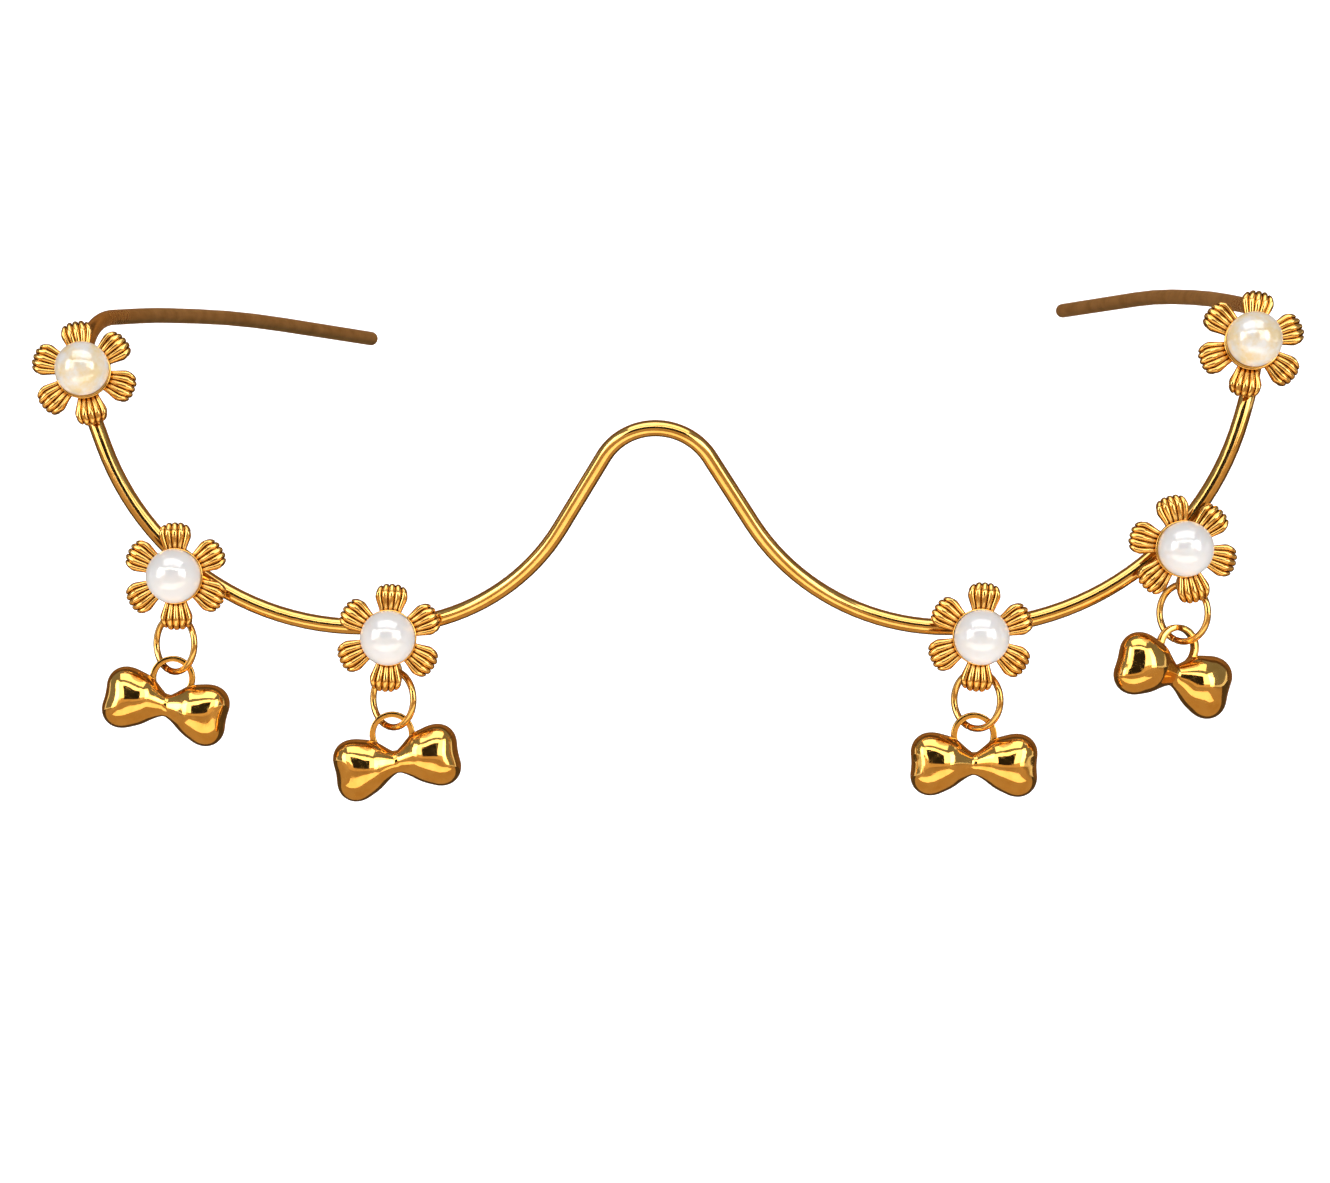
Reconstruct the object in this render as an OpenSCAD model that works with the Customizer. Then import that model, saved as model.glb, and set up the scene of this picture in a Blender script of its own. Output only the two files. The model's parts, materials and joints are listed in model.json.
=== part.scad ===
// Half-rim wire face frame with six pearl flowers and four hanging bow charms.
// Origin: underside of the nose bridge, on its centre line. +X across the face, to the right as seen
// from the front, +Y back towards the ears, +Z up. Millimetres.

/* [Wire frame] */
// Diameter of the round frame wire
wire_d = 1.8; // [1.4:0.1:1.9]
// Bend radius over the nose, to the wire axis
bridge_bend_r = 6.7; // [6:0.1:8]
// Bend radius of the sweep under each eye, next to the nose
inner_sweep_r = 24.6; // [20:0.2:25]
// Bend radius of the sweep up towards each temple
outer_sweep_r = 31.5; // [26:0.5:31.5]
// Bend radius where the wire turns back at the temples
temple_bend_r = 13; // [9:0.5:13]

/* [Flowers] */
// Diameter of each pearl
pearl_d = 6; // [5:0.1:6.4]
// Diameter over the petal tips
flower_d = 12; // [11:0.1:13]
// Petals on each flower
petal_count = 6; // [5:1:7]
// Width of a petal near its tip
petal_w = 3.3; // [2.6:0.1:3.5]
// Thickness of the petal sheet
petal_t = 0.7; // [0.5:0.05:0.9]
// Diameter of the peg that holds each pearl
peg_d = 0.9; // [0.6:0.1:1.1]

/* [Links] */
// Outer diameter of a jump ring
ring_od = 7; // [6.6:0.1:7.4]
// Wire diameter of a jump ring
ring_wire_d = 0.75; // [0.6:0.05:0.8]
// Wire diameter of an eyelet
eyelet_wire_d = 0.6; // [0.4:0.05:0.7]
// Turn of the jump rings about the vertical
ring_yaw = -36; // [-45:1:-34]

/* [Bow charms] */
// Width over both lobes of a bow
bow_w = 14; // [12:0.2:15]
// Height over both lobes of a bow
bow_h = 7.2; // [6.4:0.1:7.6]
// Outer diameter of the bail
bail_od = 5; // [4.8:0.1:5.4]
// Wall of the bail
bail_wall = 0.65; // [0.5:0.05:0.7]
// Depth of the bail band along its hole
bail_depth = 1; // [0.6:0.1:1.1]
// Drop from the bail centre to the waist of the bow
waist_drop = 3.2; // [3:0.1:3.6]

/* [Hidden] */

$fn = 48;
wire_fn = 24;
scallop_fn = 24;
ring_fn = 96;
gold = [0.86, 0.66, 0.3];
satin_gold = [0.72, 0.53, 0.27];
pearl_white = [0.96, 0.94, 0.9];

// Bend table of the wire: the corners that its straight lines meet at, and the bend radius there.
bridge_corner = [0.1, -2.45, 6.75];
left_corners = [
    [-18, 8, -20.7],
    [-55.2, 8.6, -20.7],
    [-68.2, 10.2, 13.6],
    [-62, 32, 15.7],
    [-56.5, 54, 16.9],
];
left_tip = [-44.6, 85, 16.2];
right_corners = [
    [17.2, 8, -20.7],
    [56.6, 8.6, -20.7],
    [66.6, 10.2, 13.8],
    [60.8, 40, 17.6],
    [55.5, 56, 18.9],
];
right_tip = [44.6, 85, 19.3];
arm_bend_r = 150;
// The straights are let this far into the bends, which are this much fuller in radius
let_in = 0.12;
bend_swell = 0.01;
side_bends = [inner_sweep_r, outer_sweep_r, temple_bend_r, arm_bend_r, arm_bend_r];
wire_corners = concat(
    [left_tip], [for (i = [4:-1:0]) left_corners[i]],
    [bridge_corner],
    right_corners, [right_tip]
);
wire_bends = concat(
    [0], [for (i = [4:-1:0]) side_bends[i]],
    [bridge_bend_r],
    side_bends, [0]
);

// Stations along the wire, one flower at each. Columns:
// centre of the flower's back plane, turn about the vertical, pitch up, roll of the petals,
// axis of the wire seen in the flower's frame: offset [x, y], depth, slope in its plane, lean back,
// hang point of the jump ring from the flower centre [x, drop], bail's slide round the ring,
// tilt of the bow, yaw of the bow.
CENTRE = 0;
TURN = 1;
PITCH = 2;
ROLL = 3;
WIRE_AT = 4;
WIRE_DEPTH = 5;
SLOPE = 6;
LEAN = 7;
HANG = 8;
SLIDE = 9;
TILT = 10;
YAW = 11;
left_temple = [[-65, 9.7, 7.4], 7, 9, 11, [-0.2, 0], 2.25, 97, 23];
left_outer = [[-54.1, 7.55, -15.1], 5, 0, 1, [1.05, 1.2], 1.25, 142, 0, [-0.4, 4.4], -8, -12.4, 6];
left_inner = [[-30.2, 6.95, -21.9], 6, 0, -4, [0, 1.24], 1.25, 183, 0, [0.35, 3.7], -3, 10.5, 6];
right_inner = [[34.8, 7, -21.75], 4, 0, -5, [0, 1.1], 1.25, 3, 0, [-0.2, 3.8], -8, -1, 6];
right_outer = [[56.6, 7.7, -12.2], 6, 0, 14.5, [-1.1, 1.05], 1.25, 46, 0, [0.5, 3.8], -15, -16.7, 28];
right_temple = [[64.1, 10.15, 9.96], 6, 9, -10, [0.75, 0], 2.28, 86, 28];

// Flower profile, outward along +Z from the back plane
disc_r = 2.6;
disc_t = 0.7;
cup_rim_r = 3.15;
cup_rim_z = 2.3;
pearl_z = 3.7;
pearl_gap = 0.03;
petal_root_w = 2.5;
petal_root_r = 1.7;
petal_shoulder = 0.7;
petal_clearance = 4;
// Cupped petals beyond the disc, radius against height: the underside outward, and the upper side
// inward, less the sheet's thickness
petal_under = [[3.4, 0.25], [4.4, 0.95], [5.2, 1.3]];
petal_over = [[5.4, 1.3], [4.2, 0.95], [3.2, 0.3]];
petal_tip_z = 1.1;
petal_tip_thinning = 0.7;
petal_overrun = 0.1;
scallops = 4;
scallop_r = petal_w / 2 / scallops;
peg_head_d = 1.8;
peg_head_t = 0.3;
peg_past_centre = 0.8;
peg_end_z = pearl_z + peg_past_centre;
bore_overrun = 1;

// Saddle, eyelet and links
saddle_r = 1.9;
saddle_foot_w = 1.6;
saddle_foot_y = -2;
saddle_block = [3.2, 2.7];
saddle_groove_l = 12;
eyelet_r = 1;
eyelet_depth = 1.5;
stem_depth = 1.15;
stem_overlap = 0.1;
ring_r = (ring_od - ring_wire_d) / 2;
ring_cut = 0.06;
ring_cut_at = 250;
bail_hang = 0.75;
bail_ri = bail_od / 2 - bail_wall;
bail_behind = 0.65;
lobe_bump_r = 2.1;
lobe_x = bow_w / 2 - lobe_bump_r;
lobe_y = bow_h / 2 - lobe_bump_r;
waist_r = 0.8;
lobe_root_r = 0.5;
lobe_root = 0.35;
lobe_flank = [0.93, 0.3];

function unit(v) = v / norm(v);
function lerp(a, b, t) = a + (b - a) * t;
function along(p, q) = unit(q - p);
// Turning angle of a polyline at point b, and the length its bend takes from each side
function turn_angle(a, b, c) = acos(along(a, b) * along(b, c));
function bend_length(a, b, c, r) = r == 0 ? 0 : r * tan(turn_angle(a, b, c) / 2);
function bend_at(i) = i == 0 || i == len(wire_corners) - 1 ? 0
    : bend_length(wire_corners[i - 1], wire_corners[i], wire_corners[i + 1], wire_bends[i]);

function hang_point(s) =
    s[CENTRE]
    + [s[HANG][0] * cos(s[TURN]), s[HANG][0] * sin(s[TURN]), -s[HANG][1]]
    + eyelet_depth * [-sin(s[TURN]), cos(s[TURN]), 0];
function ring_centre(s) = hang_point(s) - [0, 0, ring_r];
function bail_centre(s) =
    ring_centre(s)
    + ring_r * [sin(s[SLIDE]) * cos(ring_yaw), sin(s[SLIDE]) * sin(ring_yaw), -cos(s[SLIDE])]
    - [0, 0, bail_hang];

// Places its children with +X along u and +Y along v
module frame_on(origin, u, v) {
    w = cross(u, v);
    multmatrix([
        [u[0], v[0], w[0], origin[0]],
        [u[1], v[1], w[1], origin[1]],
        [u[2], v[2], w[2], origin[2]],
        [0, 0, 0, 1],
    ]) children();
}

// Places its children with +Z along w
module aimed(origin, w) {
    side = abs(w[2]) < 0.9 ? [0, 0, 1] : [1, 0, 0];
    u = unit(cross(side, w));
    frame_on(origin, u, cross(w, u)) children();
}

// Children in a flower's frame: +Z out of its face, +Y up
module at_station(s) {
    translate(s[CENTRE]) rotate([90 - s[PITCH], 0, s[TURN]]) children();
}

// Straight run of wire, let a little into the bend at each end
module wire_straight(p, q, r) {
    d = along(p, q);
    aimed(p - d * let_in, d) cylinder(r = r, h = norm(q - p) + 2 * let_in);
}

// One bend of the wire at corner b, between the lines from a and to c
module wire_bend(a, b, c, bend_r, r) {
    turn = turn_angle(a, b, c);
    d_in = along(a, b);
    d_out = along(b, c);
    start = b - d_in * bend_length(a, b, c, bend_r);
    inward = unit(d_out - d_in * (d_in * d_out));
    frame_on(start + inward * bend_r, -inward, d_in)
        rotate_extrude(angle = turn) translate([bend_r, 0]) circle(r = r, $fn = wire_fn);
}

// Last stretch of an arm, with a domed end
module wire_tip(p, q, r) {
    length = norm(q - p) - r + let_in;
    aimed(p - along(p, q) * let_in, along(p, q)) rotate_extrude() {
        square([r, length]);
        translate([0, length]) intersection() {
            circle(r = r);
            square(r);
        }
    }
}

// Drawn wire: straights of the nominal size, and bends a hundredth of a millimetre fuller
module frame_wire() {
    last = len(wire_corners) - 1;
    r = wire_d / 2;
    color(satin_gold) {
        for (i = [1:last - 1])
            wire_bend(
                wire_corners[i - 1], wire_corners[i], wire_corners[i + 1],
                wire_bends[i], r + bend_swell
            );
        for (i = [1:last - 2]) {
            p = wire_corners[i];
            q = wire_corners[i + 1];
            wire_straight(p + along(p, q) * bend_at(i), q - along(p, q) * bend_at(i + 1), r);
        }
        wire_tip(wire_corners[1] + along(wire_corners[1], left_tip) * bend_at(1), left_tip, r);
        wire_tip(wire_corners[last - 1] + along(wire_corners[last - 1], right_tip) * bend_at(last - 1),
            right_tip, r);
    }
}

// Outline of one petal, pointing up: a fan with a scalloped end
module petal_outline() {
    tip_r = flower_d / 2 - scallop_r;
    half_angle = asin((petal_w / 2 - scallop_r) / tip_r);
    polygon([
        [-petal_root_w / 2, petal_root_r],
        [petal_root_w / 2, petal_root_r],
        [petal_w / 2, tip_r - petal_shoulder],
        [petal_w / 2 - scallop_r, tip_r],
        [-petal_w / 2 + scallop_r, tip_r],
        [-petal_w / 2, tip_r - petal_shoulder],
    ]);
    for (i = [0:scallops - 1])
        rotate(lerp(-half_angle, half_angle, i / (scallops - 1)))
            translate([0, tip_r]) circle(r = scallop_r, $fn = scallop_fn);
}

// Section of the cupped petals, radius against height above the back plane
module petal_section() {
    tip = flower_d / 2 + petal_overrun;
    polygon(concat(
        [[0, 0], [disc_r, 0]],
        petal_under,
        [[tip, petal_tip_z], [tip, petal_tip_z + petal_t * petal_tip_thinning]],
        [for (p = petal_over) p + [0, petal_t]],
        [[disc_r, disc_t], [0, disc_t]]
    ));
}

module flower(s) {
    color(gold) at_station(s) difference() {
        union() {
            intersection() {
                rotate_extrude() petal_section();
                rotate(s[ROLL]) linear_extrude(height = petal_clearance) {
                    circle(r = disc_r);
                    for (i = [0:petal_count - 1]) rotate(i * 360 / petal_count) petal_outline();
                }
            }
            cylinder(r1 = disc_r, r2 = cup_rim_r, h = cup_rim_z);
        }
        translate([0, 0, pearl_z]) sphere(r = pearl_d / 2 + pearl_gap);
        translate([0, 0, -bore_overrun]) cylinder(d = peg_d, h = pearl_z);
    }
}

module pearl(s) {
    color(pearl_white) at_station(s) difference() {
        translate([0, 0, pearl_z]) sphere(d = pearl_d);
        cylinder(d = peg_d, h = peg_end_z);
    }
}

module pearl_peg(s) {
    color(gold) at_station(s) {
        cylinder(d = peg_d, h = peg_end_z);
        translate([0, 0, -peg_head_t]) cylinder(d = peg_head_d, h = peg_head_t);
    }
}

// Pad between the flower's back and the wire, grooved to the wire
module solder_saddle(s) {
    depth = s[WIRE_DEPTH];
    at = s[WIRE_AT];
    color(gold) at_station(s) difference() {
        union() {
            translate([0, 0, -depth]) cylinder(r = saddle_r, h = depth);
            translate([-saddle_foot_w / 2, saddle_foot_y, -depth])
                cube([saddle_foot_w, -saddle_foot_y, depth]);
            translate([at[0], at[1], -depth / 2]) rotate(s[SLOPE])
                cube([saddle_block[0], saddle_block[1], depth], center = true);
        }
        translate([at[0], at[1], -depth]) rotate(s[SLOPE]) rotate([0, 90 + s[LEAN], 0])
            cylinder(d = wire_d, h = saddle_groove_l, center = true);
        translate([0, 0, -peg_head_t]) cylinder(d = peg_head_d, h = peg_head_t * 2);
    }
}

// Small closed loop under the saddle that a jump ring hangs in
module eyelet(s) {
    stem_top = saddle_foot_y;
    stem_bottom = eyelet_r - s[HANG][1] + stem_overlap;
    color(gold) {
        translate(hang_point(s)) rotate([0, 0, ring_yaw]) rotate([0, 90, 0])
            rotate_extrude() translate([eyelet_r, 0]) circle(d = eyelet_wire_d);
        at_station(s) translate([s[HANG][0], stem_bottom, -stem_depth]) rotate([-90, 0, 0])
            cylinder(d = eyelet_wire_d, h = stem_top - stem_bottom);
    }
}

// Round jump ring with a closed cut low on its left
module jump_ring(s) {
    cutter = [ring_wire_d * 2, ring_cut, ring_wire_d * 2];
    color(gold) translate(ring_centre(s)) rotate([90, 0, ring_yaw]) difference() {
        rotate_extrude($fn = ring_fn) translate([ring_r, 0]) circle(d = ring_wire_d);
        rotate(ring_cut_at) translate([ring_r, 0, 0]) cube(cutter, center = true);
    }
}

// One rounded half-heart of a bow lobe, turned about its own line from the waist
module lobe_bump(x, y) {
    reach = norm([x, y]);
    flank = [lobe_bump_r * lobe_flank[0], reach - lobe_bump_r * lobe_flank[1]];
    rotate(atan2(y, x)) rotate([90, 0, 90]) rotate_extrude() intersection() {
        union() {
            translate([0, reach]) circle(r = lobe_bump_r);
            polygon([[0, lobe_root], [lobe_root_r, lobe_root], flank, [0, reach]]);
        }
        square([lobe_bump_r * 2, reach + lobe_bump_r * 2]);
    }
}

module bow_charm(s) {
    color(gold) translate(bail_centre(s)) rotate([90, 0, s[YAW]]) rotate(s[TILT]) {
        rotate_extrude() translate([bail_ri, -bail_depth / 2]) square([bail_wall, bail_depth]);
        translate([0, -waist_drop, bail_behind]) {
            sphere(r = waist_r);
            for (x = [-lobe_x, lobe_x], y = [-lobe_y, lobe_y]) lobe_bump(x, y);
        }
    }
}

frame_wire();

flower(left_temple);  // flower_left_temple
pearl(left_temple);  // pearl_left_temple
pearl_peg(left_temple);  // pearl_peg_left_temple
solder_saddle(left_temple);  // solder_saddle_left_temple

flower(left_outer);  // flower_left_outer
pearl(left_outer);  // pearl_left_outer
pearl_peg(left_outer);  // pearl_peg_left_outer
solder_saddle(left_outer);  // solder_saddle_left_outer
eyelet(left_outer);  // eyelet_left_outer
jump_ring(left_outer);  // jump_ring_left_outer
bow_charm(left_outer);  // bow_charm_left_outer

flower(left_inner);  // flower_left_inner
pearl(left_inner);  // pearl_left_inner
pearl_peg(left_inner);  // pearl_peg_left_inner
solder_saddle(left_inner);  // solder_saddle_left_inner
eyelet(left_inner);  // eyelet_left_inner
jump_ring(left_inner);  // jump_ring_left_inner
bow_charm(left_inner);  // bow_charm_left_inner

flower(right_inner);  // flower_right_inner
pearl(right_inner);  // pearl_right_inner
pearl_peg(right_inner);  // pearl_peg_right_inner
solder_saddle(right_inner);  // solder_saddle_right_inner
eyelet(right_inner);  // eyelet_right_inner
jump_ring(right_inner);  // jump_ring_right_inner
bow_charm(right_inner);  // bow_charm_right_inner

flower(right_outer);  // flower_right_outer
pearl(right_outer);  // pearl_right_outer
pearl_peg(right_outer);  // pearl_peg_right_outer
solder_saddle(right_outer);  // solder_saddle_right_outer
eyelet(right_outer);  // eyelet_right_outer
jump_ring(right_outer);  // jump_ring_right_outer
bow_charm(right_outer);  // bow_charm_right_outer

flower(right_temple);  // flower_right_temple
pearl(right_temple);  // pearl_right_temple
pearl_peg(right_temple);  // pearl_peg_right_temple
solder_saddle(right_temple);  // solder_saddle_right_temple
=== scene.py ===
import json
import math
import bmesh
import bpy
import numpy as np
from mathutils import Matrix, Vector


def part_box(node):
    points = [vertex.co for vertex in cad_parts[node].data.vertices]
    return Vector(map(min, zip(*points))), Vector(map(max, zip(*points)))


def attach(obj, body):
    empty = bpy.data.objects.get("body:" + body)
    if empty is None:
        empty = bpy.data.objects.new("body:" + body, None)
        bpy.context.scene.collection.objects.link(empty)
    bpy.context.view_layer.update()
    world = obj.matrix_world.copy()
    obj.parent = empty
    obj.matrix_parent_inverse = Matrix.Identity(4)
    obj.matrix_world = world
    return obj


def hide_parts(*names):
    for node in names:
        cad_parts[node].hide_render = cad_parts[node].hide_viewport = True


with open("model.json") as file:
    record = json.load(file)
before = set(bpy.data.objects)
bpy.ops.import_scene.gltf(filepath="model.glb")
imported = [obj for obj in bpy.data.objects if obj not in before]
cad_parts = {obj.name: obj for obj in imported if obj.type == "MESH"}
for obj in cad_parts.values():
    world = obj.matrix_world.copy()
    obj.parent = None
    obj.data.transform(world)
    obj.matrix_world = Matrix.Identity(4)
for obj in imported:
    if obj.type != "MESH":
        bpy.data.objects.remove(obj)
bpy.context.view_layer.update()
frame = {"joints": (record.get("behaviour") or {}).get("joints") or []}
mm = 0.001

# Each piece has its own dictionary of sizes, in millimetres and degrees, beside the code that makes it.

# How each flower is turned on the wire, and how each bow hangs.
stations = {
    "left_temple": {"turn": 7, "pitch": 9, "roll": 11, "warm": 1.0},
    "left_outer": {"turn": 5, "pitch": 0, "roll": 1, "warm": 0.0, "tilt": -12.4, "bowYaw": 6},
    "left_inner": {"turn": 6, "pitch": 0, "roll": -4, "warm": 0.0, "tilt": 10.5, "bowYaw": 6},
    "right_inner": {"turn": 4, "pitch": 0, "roll": -5, "warm": 0.0, "tilt": -1, "bowYaw": 6},
    "right_outer": {"turn": 6, "pitch": 0, "roll": 14.5, "warm": 0.0, "tilt": -16.7, "bowYaw": 28},
    "right_temple": {"turn": 6, "pitch": 9, "roll": -10, "warm": 1.0},
}


# Small helpers

def asVector(p):
    return Vector(p) * mm


def meshPiece(name, points, faces, smooth=True):
    mesh = bpy.data.meshes.new(name)
    mesh.from_pydata([tuple(p) for p in points], [], faces)
    mesh.update()
    mesh.validate()
    if smooth:
        mesh.polygons.foreach_set("use_smooth", [True] * len(mesh.polygons))
    piece = bpy.data.objects.new(name, mesh)
    bpy.context.scene.collection.objects.link(piece)
    return piece


# Makes a piece's modifiers final: a plain mesh, with no modifier left.
def bake(piece):
    depsgraph = bpy.context.evaluated_depsgraph_get()
    mesh = bpy.data.meshes.new_from_object(piece.evaluated_get(depsgraph))
    old = piece.data
    piece.modifiers.clear()
    piece.data = mesh
    if not old.users:
        bpy.data.meshes.remove(old)
    return piece


# Sets a Geometry Nodes modifier's inputs by their names.
def runNodes(piece, tree, **values):
    modifier = piece.modifiers.new("make", "NODES")
    modifier.node_group = tree
    for item in tree.interface.items_tree:
        if item.item_type == "SOCKET" and item.in_out == "INPUT" and item.name in values:
            modifier[item.identifier] = values[item.name]
    return bake(piece)


def copyPlaced(source, name, place):
    mesh = source.data.copy()
    mesh.name = name
    mesh.transform(place)
    piece = bpy.data.objects.new(name, mesh)
    bpy.context.scene.collection.objects.link(piece)
    return piece


def discard(piece):
    mesh = piece.data
    bpy.data.objects.remove(piece)
    if not mesh.users:
        bpy.data.meshes.remove(mesh)


def boxCentre(node):
    low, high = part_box(node)
    return (Vector(low) + Vector(high)) / 2


def joint(name):
    return next(j for j in frame["joints"] if j["name"] == name)


def give(piece, material):
    piece.data.materials.clear()
    piece.data.materials.append(material)
    return piece


# Material helpers: each material is a short function, and shared effects are shader node groups.

def newNode(tree, kind, **inputs):
    node = tree.nodes.new(kind)
    for name, value in inputs.items():
        node.inputs[name.replace("_", " ")].default_value = value
    return node


# A ramp between two stops, each a position and a colour.
def ramp(tree, stops):
    node = tree.nodes.new("ShaderNodeValToRGB")
    for element, (position, colour) in zip(node.color_ramp.elements, stops):
        element.position = position
        element.color = (*colour, 1)
    return node


def groupTree(name, inputs, outputs):
    tree = bpy.data.node_groups.new(name, "ShaderNodeTree")
    for label, kind, value in inputs:
        socket = tree.interface.new_socket(label, in_out="INPUT", socket_type=kind)
        socket.default_value = value
    for label, kind in outputs:
        tree.interface.new_socket(label, in_out="OUTPUT", socket_type=kind)
    return tree, tree.nodes.new("NodeGroupInput"), tree.nodes.new("NodeGroupOutput")


# Soft cloudy unevenness of a plated surface: a 0 to 1 mask and a bumped normal.
def platingGroup():
    tree, given, result = groupTree(
        "platingUnevenness",
        [("Scale", "NodeSocketFloat", 900.0), ("Wave", "NodeSocketFloat", 0.15)],
        [("Mask", "NodeSocketFloat"), ("Normal", "NodeSocketVector")],
    )
    links = tree.links
    place = tree.nodes.new("ShaderNodeTexCoord")
    cloud = newNode(tree, "ShaderNodeTexNoise", Detail=3.0, Roughness=0.55)
    bump = newNode(tree, "ShaderNodeBump", Distance=0.00005)
    links.new(place.outputs["Object"], cloud.inputs["Vector"])
    links.new(given.outputs["Scale"], cloud.inputs["Scale"])
    links.new(cloud.outputs["Fac"], result.inputs["Mask"])
    links.new(cloud.outputs["Fac"], bump.inputs["Height"])
    links.new(given.outputs["Wave"], bump.inputs["Strength"])
    links.new(bump.outputs["Normal"], result.inputs["Normal"])
    return tree


# Fine handling scratches, stretched in two crossing directions: a 0 to 1 mask.
def scratchGroup():
    tree, given, result = groupTree(
        "fineScratches",
        [("Scale", "NodeSocketFloat", 1200.0), ("Stretch", "NodeSocketFloat", 12.0)],
        [("Mask", "NodeSocketFloat")],
    )
    links = tree.links
    place = tree.nodes.new("ShaderNodeTexCoord")
    masks = []
    lean = 0.4
    lineStart, lineEnd = 0.58, 0.66
    for turn in (0.6, -0.9):
        mapping = newNode(tree, "ShaderNodeMapping", Rotation=(turn, lean, turn))
        squeeze = tree.nodes.new("ShaderNodeCombineXYZ")
        squeeze.inputs["X"].default_value = 1
        squeeze.inputs["Z"].default_value = 1
        noise = newNode(tree, "ShaderNodeTexNoise", Detail=2.0)
        line = ramp(tree, [(lineStart, (0, 0, 0)), (lineEnd, (1, 1, 1))])
        links.new(place.outputs["Object"], mapping.inputs["Vector"])
        links.new(given.outputs["Stretch"], squeeze.inputs["Y"])
        links.new(squeeze.outputs["Vector"], mapping.inputs["Scale"])
        links.new(given.outputs["Scale"], noise.inputs["Scale"])
        links.new(mapping.outputs["Vector"], noise.inputs["Vector"])
        links.new(noise.outputs["Fac"], line.inputs["Fac"])
        masks.append(line)
    both = tree.nodes.new("ShaderNodeMath")
    both.operation = "MAXIMUM"
    links.new(masks[0].outputs["Color"], both.inputs[0])
    links.new(masks[1].outputs["Color"], both.inputs[1])
    links.new(both.outputs["Value"], result.inputs["Mask"])
    return tree


# Painted shade that gathers in grooves and joints, from ambient occlusion: 1 in a deep recess, 0 in the
# open.
def recessGroup():
    tree, given, result = groupTree(
        "paintedShadeInRecesses",
        [("Reach", "NodeSocketFloat", 0.0006)],
        [("Mask", "NodeSocketFloat")],
    )
    links = tree.links
    shade = tree.nodes.new("ShaderNodeAmbientOcclusion")
    shade.samples = 8
    flip = tree.nodes.new("ShaderNodeMapRange")
    flip.inputs["From Min"].default_value = 0.85  # open
    flip.inputs["From Max"].default_value = 0.15  # deep
    links.new(given.outputs["Reach"], shade.inputs["Distance"])
    links.new(shade.outputs["AO"], flip.inputs["Value"])
    links.new(flip.outputs["Result"], result.inputs["Mask"])
    return tree


groups = {"plating": platingGroup(), "scratches": scratchGroup(), "recess": recessGroup()}


def useGroup(tree, name, **inputs):
    node = newNode(tree, "ShaderNodeGroup")
    node.node_tree = groups[name]
    for label, value in inputs.items():
        node.inputs[label].default_value = value
    return node


def newMaterial(name):
    material = bpy.data.materials.new(name)
    material.use_nodes = True
    tree = material.node_tree
    tree.nodes.clear()
    surface = tree.nodes.new("ShaderNodeBsdfPrincipled")
    output = tree.nodes.new("ShaderNodeOutputMaterial")
    tree.links.new(surface.outputs["BSDF"], output.inputs["Surface"])
    return material, tree, surface


def mixColours(tree, factor, first, second):
    mix = tree.nodes.new("ShaderNodeMix")
    mix.data_type = "RGBA"
    tree.links.new(factor, mix.inputs["Factor"])
    colourA, colourB, mixed = mix.inputs[6], mix.inputs[7], mix.outputs[2]
    for socket, value in ((colourA, first), (colourB, second)):
        if isinstance(value, tuple):
            socket.default_value = (*value, 1)
        else:
            tree.links.new(value, socket)
    return mixed


def mapValue(tree, value, low, high, start=0.0, end=1.0):
    node = tree.nodes.new("ShaderNodeMapRange")
    node.inputs["From Min"].default_value = start
    node.inputs["From Max"].default_value = end
    node.inputs["To Min"].default_value = low
    node.inputs["To Max"].default_value = high
    tree.links.new(value, node.inputs["Value"])
    return node.outputs["Result"]


# Plated gold: bright colour, a deeper cloudy colour, and a dark colour painted as shade in the recesses.
plate = {
    "cloudScale": 700.0,
    "cloudFrom": 0.4,
    "cloudTo": 0.75,
    "scratchScale": 1500.0,
    "scratchStretch": 14.0,
    "scratchRoughness": 0.1,
    "recessReach": 0.0006,
    "recessShare": 0.85,
}

golds = {
    "castGold": ((1.0, 0.6, 0.18), (0.86, 0.47, 0.12), (0.13, 0.05, 0.01), 0.12, 0.12),
    "bowGold": ((1.0, 0.58, 0.15), (0.9, 0.48, 0.1), (0.14, 0.055, 0.01), 0.06, 0.08),
    "ringGold": ((0.96, 0.58, 0.18), (0.76, 0.41, 0.1), (0.2, 0.09, 0.02), 0.12, 0.12),
    "solderGold": ((0.72, 0.46, 0.17), (0.5, 0.3, 0.1), (0.12, 0.05, 0.012), 0.3, 0.4),
}


# Takes a gold's bright and deep colours, the colour of its painted shade in recesses, its roughness, and
# how uneven its plating is.
def goldMaterial(name, bright, deep, recessShade, roughness, wave):
    material, tree, surface = newMaterial(name)
    links = tree.links
    plating = useGroup(tree, "plating", Scale=plate["cloudScale"], Wave=wave)
    scratches = useGroup(tree, "scratches", Scale=plate["scratchScale"], Stretch=plate["scratchStretch"])
    recess = useGroup(tree, "recess", Reach=plate["recessReach"])
    cloud = mapValue(tree, plating.outputs["Mask"], 0, 1, plate["cloudFrom"], plate["cloudTo"])
    clouded = mixColours(tree, cloud, bright, deep)
    # Painted shade: the colour darkens towards the recess colour where ambient occlusion finds a recess.
    paintedShade = mapValue(tree, recess.outputs["Mask"], 0, plate["recessShare"])
    links.new(mixColours(tree, paintedShade, clouded, recessShade), surface.inputs["Base Color"])
    roughest = roughness + plate["scratchRoughness"]
    rough = mapValue(tree, scratches.outputs["Mask"], roughness, roughest)
    links.new(rough, surface.inputs["Roughness"])
    links.new(plating.outputs["Normal"], surface.inputs["Normal"])
    surface.inputs["Metallic"].default_value = 1
    return material


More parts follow.
